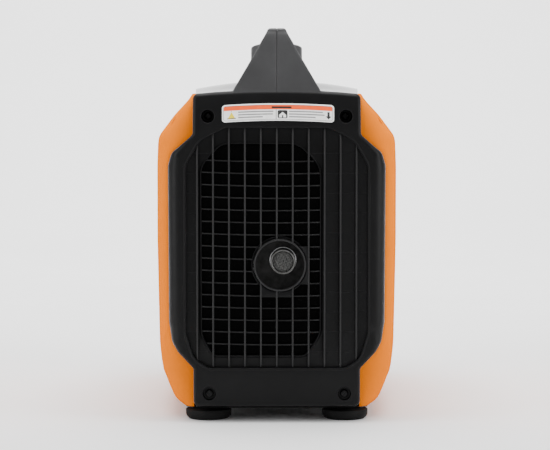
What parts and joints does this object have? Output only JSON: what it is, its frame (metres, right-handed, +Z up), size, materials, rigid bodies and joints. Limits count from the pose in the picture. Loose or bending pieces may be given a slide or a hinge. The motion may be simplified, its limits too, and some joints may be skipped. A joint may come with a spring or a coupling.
{
  "type": "portable inverter generator",
  "caption": "Suitcase-shaped inverter generator with a bridge handle, bulged side panels, an exhaust grille at one end, a control panel at the other and a pull starter.",
  "frame": {"origin": "on the floor under the middle of the machine, centre of the bounding box's bottom face", "axes": "+Z up, -Y towards the exhaust grille, +Y towards the control panel, -X towards the pull starter's side"},
  "size_m": [0.288, 0.5007, 0.4443],
  "materials": {
    "black_plastic": "fine moulded grain, satin",
    "handle_plastic": "fine moulded grain, matt",
    "orange_plastic": "smooth, semi-gloss",
    "rubber": "matt",
    "rope": "braided",
    "steel": "satin",
    "dark_steel": "blackened, satin",
    "aluminium": "as cast",
    "tank_plastic": "blow-moulded, matt",
    "label": "printed film, satin",
    "socket_plastic": "smooth, satin",
    "red_plastic": "smooth, gloss",
    "lens": "smoked, gloss"
  },
  "bodies": {
    "body": {"ac_outlet": "socket_plastic", "air_filter_box": "black_plastic", "base_tray": "black_plastic", "carburettor": "aluminium", "control_panel": "black_plastic", "crankcase": "aluminium", "cylinder": "aluminium", "cylinder_head": "aluminium", "dc_outlet": "socket_plastic", "engine_mount_left": "rubber", "engine_mount_right": "rubber", "exhaust_cup": "dark_steel", "foot_1": "rubber", "foot_2": "rubber", "foot_3": "rubber", "foot_4": "rubber", "front_cover": "black_plastic", "fuel_tank": "tank_plastic", "ground_terminal": "steel", "handle_left_half": "handle_plastic", "handle_right_half": "handle_plastic", "ignition_coil": "black_plastic", "indicator_lens": "lens", "information_label": "label", "inverter_module": "aluminium", "left_side_panel": "orange_plastic", "lower_screw_1": "dark_steel", "lower_screw_2": "dark_steel", "muffler": "steel", "parallel_jack_left": "black_plastic", "parallel_jack_right": "black_plastic", "plug_cap": "rubber", "rear_cover": "black_plastic", "rear_grille": "black_plastic", "right_side_panel": "orange_plastic", "spark_arrestor": "dark_steel", "spark_plug": "steel", "starter_housing": "black_plastic", "stator": "dark_steel", "tailpipe": "steel", "top_cover": "black_plastic", "upper_screw_1": "dark_steel", "upper_screw_2": "dark_steel"},
    "crank": {"crankshaft": "steel", "flywheel": "steel", "cooling_fan": "black_plastic"},
    "starter_pulley": {"starter_pulley": "black_plastic"},
    "starter_grip": {"starter_grip": "rubber", "starter_rope": "rope"},
    "fuel_cap": {"fuel_cap": "black_plastic"},
    "fuel_cap_vent_knob": {"fuel_cap_vent_knob": "black_plastic"},
    "engine_dial": {"engine_dial": "black_plastic"},
    "economy_switch": {"economy_switch": "socket_plastic"},
    "reset_button": {"reset_button": "red_plastic"},
    "ac_flap_left": {"ac_flap_left": "black_plastic"},
    "ac_flap_right": {"ac_flap_right": "black_plastic"},
    "dc_flap": {"dc_flap": "black_plastic"},
    "service_door": {"service_door": "orange_plastic"},
    "spark_plug_cover": {"spark_plug_cover": "black_plastic"},
    "oil_filler_cap": {"oil_filler_cap": "black_plastic"}
  },
  "joints": [
    {"name": "starter_pull", "type": "slide", "parent": "body", "child": "starter_grip", "axis": [-1, 0, 0], "range_m": [0, 0.6], "stiffness_N_per_m": 25, "deforming": ["starter_rope"]},
    {"name": "starter_pulley_turn", "type": "hinge", "parent": "body", "child": "starter_pulley", "pos_m": [0, 0.066, 0.1463], "axis": [0, 1, 0], "continuous": true},
    {"name": "crank_turn", "type": "hinge", "parent": "body", "child": "crank", "pos_m": [0, 0, 0.1463], "axis": [0, 1, 0], "continuous": true},
    {"name": "fuel_cap_turn", "type": "hinge", "parent": "body", "child": "fuel_cap", "pos_m": [0, 0.03, 0.3913], "axis": [0, 0, 1], "range_deg": [0, 180]},
    {"name": "vent_knob_turn", "type": "hinge", "parent": "fuel_cap", "child": "fuel_cap_vent_knob", "pos_m": [0, 0.03, 0.3993], "axis": [0, 0, 1], "range_deg": [0, 90]},
    {"name": "engine_dial_turn", "type": "hinge", "parent": "body", "child": "engine_dial", "pos_m": [0.044, 0.238, 0.2963], "axis": [0, 1, 0], "range_deg": [0, 120]},
    {"name": "economy_switch_rock", "type": "hinge", "parent": "body", "child": "economy_switch", "pos_m": [-0.004, 0.2355, 0.2963], "axis": [1, 0, 0], "range_deg": [0, 14]},
    {"name": "reset_press", "type": "slide", "parent": "body", "child": "reset_button", "axis": [0, -1, 0], "range_m": [0, 0.003], "stiffness_N_per_m": 300},
    {"name": "ac_flap_left_swing", "type": "hinge", "parent": "body", "child": "ac_flap_left", "pos_m": [0.0415, 0.2408, 0.1873], "axis": [1, 0, 0], "range_deg": [0, 110]},
    {"name": "ac_flap_right_swing", "type": "hinge", "parent": "body", "child": "ac_flap_right", "pos_m": [-0.0015, 0.2408, 0.1873], "axis": [1, 0, 0], "range_deg": [0, 110]},
    {"name": "dc_flap_swing", "type": "hinge", "parent": "body", "child": "dc_flap", "pos_m": [-0.05, 0.2408, 0.2343], "axis": [1, 0, 0], "range_deg": [0, 110]},
    {"name": "service_door_swing", "type": "hinge", "parent": "body", "child": "service_door", "pos_m": [0.13945, -0.135, 0.1803], "axis": [0, 0, -1], "range_deg": [0, 100]},
    {"name": "spark_plug_cover_lift", "type": "slide", "parent": "body", "child": "spark_plug_cover", "axis": [0, 0, 1], "range_m": [0, 0.024]},
    {"name": "oil_cap_turn", "type": "hinge", "parent": "body", "child": "oil_filler_cap", "pos_m": [0.082, -0.04, 0.1043], "axis": [0.9285, 0, 0.3714], "range_deg": [0, 180]}
  ],
  "couplings": [
    {"joint": "starter_pulley_turn", "follows": "starter_pull", "rad_per_m": -27.78}
  ]
}
